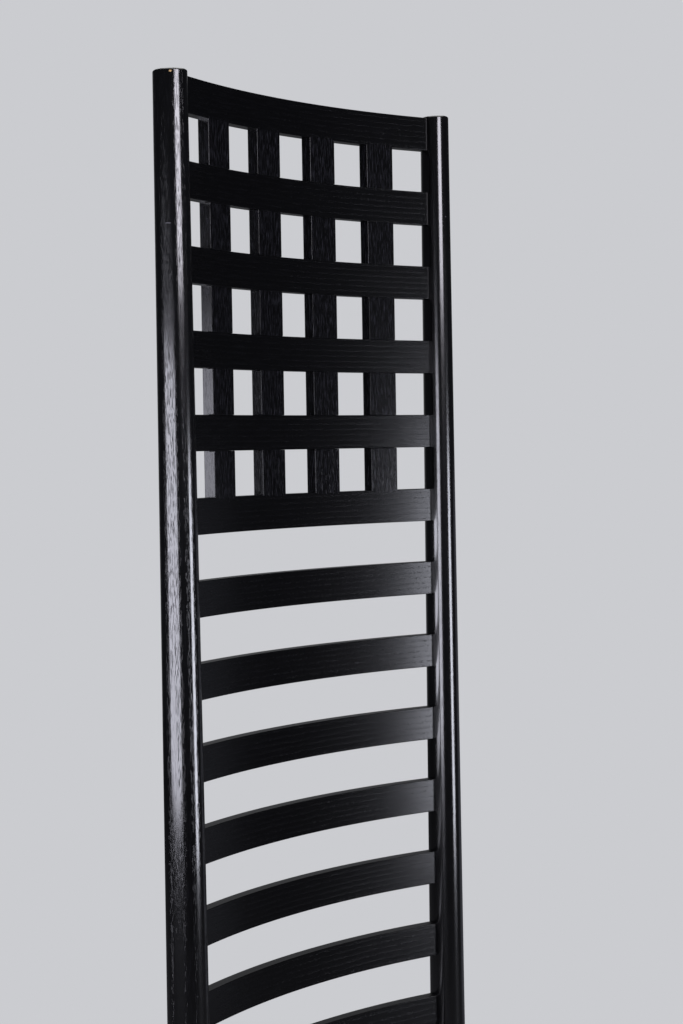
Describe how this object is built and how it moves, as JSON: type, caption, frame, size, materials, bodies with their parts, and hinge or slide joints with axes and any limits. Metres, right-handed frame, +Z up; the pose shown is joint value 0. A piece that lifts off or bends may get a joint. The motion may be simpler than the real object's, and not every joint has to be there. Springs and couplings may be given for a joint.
{
  "type": "high back chair",
  "caption": "Dining chair with a tall back of oval posts, a curved lattice above curved ladder slats, and a drop-in upholstered seat.",
  "frame": {"origin": "on the floor, in the middle of the chair's bounding box seen from above", "axes": "+Z up, -Y the front where the sitter's legs go, +X to the right seen from the front"},
  "size_m": [0.41, 0.39, 1.4099],
  "materials": {
    "stained_ash": "black stained open-grain ash under semi-gloss lacquer",
    "beech": "planed, unfinished",
    "steel": "zinc plated",
    "nylon": "moulded nylon",
    "webbing": "woven jute",
    "hessian": "open plain weave",
    "foam": "cut polyurethane foam",
    "seat_cloth": "plain woven wool",
    "lining": "black cotton lining"
  },
  "bodies": {
    "frame": {"left_back_post": "stained_ash", "right_back_post": "stained_ash", "top_rail": "stained_ash", "lattice_rail_1": "stained_ash", "lattice_rail_2": "stained_ash", "lattice_rail_3": "stained_ash", "lattice_rail_4": "stained_ash", "lattice_base_rail": "stained_ash", "lattice_upright_1": "stained_ash", "lattice_upright_2": "stained_ash", "lattice_upright_3": "stained_ash", "lattice_upright_4": "stained_ash", "ladder_slat_1": "stained_ash", "ladder_slat_2": "stained_ash", "ladder_slat_3": "stained_ash", "ladder_slat_4": "stained_ash", "ladder_slat_5": "stained_ash", "ladder_slat_6": "stained_ash", "ladder_slat_7": "stained_ash", "ladder_slat_8": "stained_ash", "ladder_slat_9": "stained_ash", "lower_slat_1": "stained_ash", "lower_slat_2": "stained_ash", "lower_slat_3": "stained_ash", "lower_slat_4": "stained_ash", "lower_slat_5": "stained_ash", "front_seat_rail": "stained_ash", "rear_seat_rail": "stained_ash", "left_seat_rail": "stained_ash", "right_seat_rail": "stained_ash", "left_front_leg": "stained_ash", "right_front_leg": "stained_ash", "front_stretcher": "stained_ash", "left_upper_stretcher": "stained_ash", "left_lower_stretcher": "stained_ash", "right_upper_stretcher": "stained_ash", "right_lower_stretcher": "stained_ash", "front_left_block": "beech", "front_right_block": "beech", "rear_left_block": "beech", "rear_right_block": "beech", "corner_screws": "steel", "foot_glides": "nylon", "glide_nails": "steel"},
    "seat": {"seat_front_member": "beech", "seat_rear_member": "beech", "seat_left_member": "beech", "seat_right_member": "beech", "seat_dowels": "beech", "cross_webbing": "webbing", "long_webbing": "webbing", "hessian_sheet": "hessian", "foam_pad": "foam", "seat_cover": "seat_cloth", "dust_cover": "lining", "cover_tacks": "steel"}
  },
  "joints": [
    {"name": "seat_lift", "type": "slide", "parent": "frame", "child": "seat", "axis": [0, 0, 1], "range_m": [0, 0.06]}
  ]
}
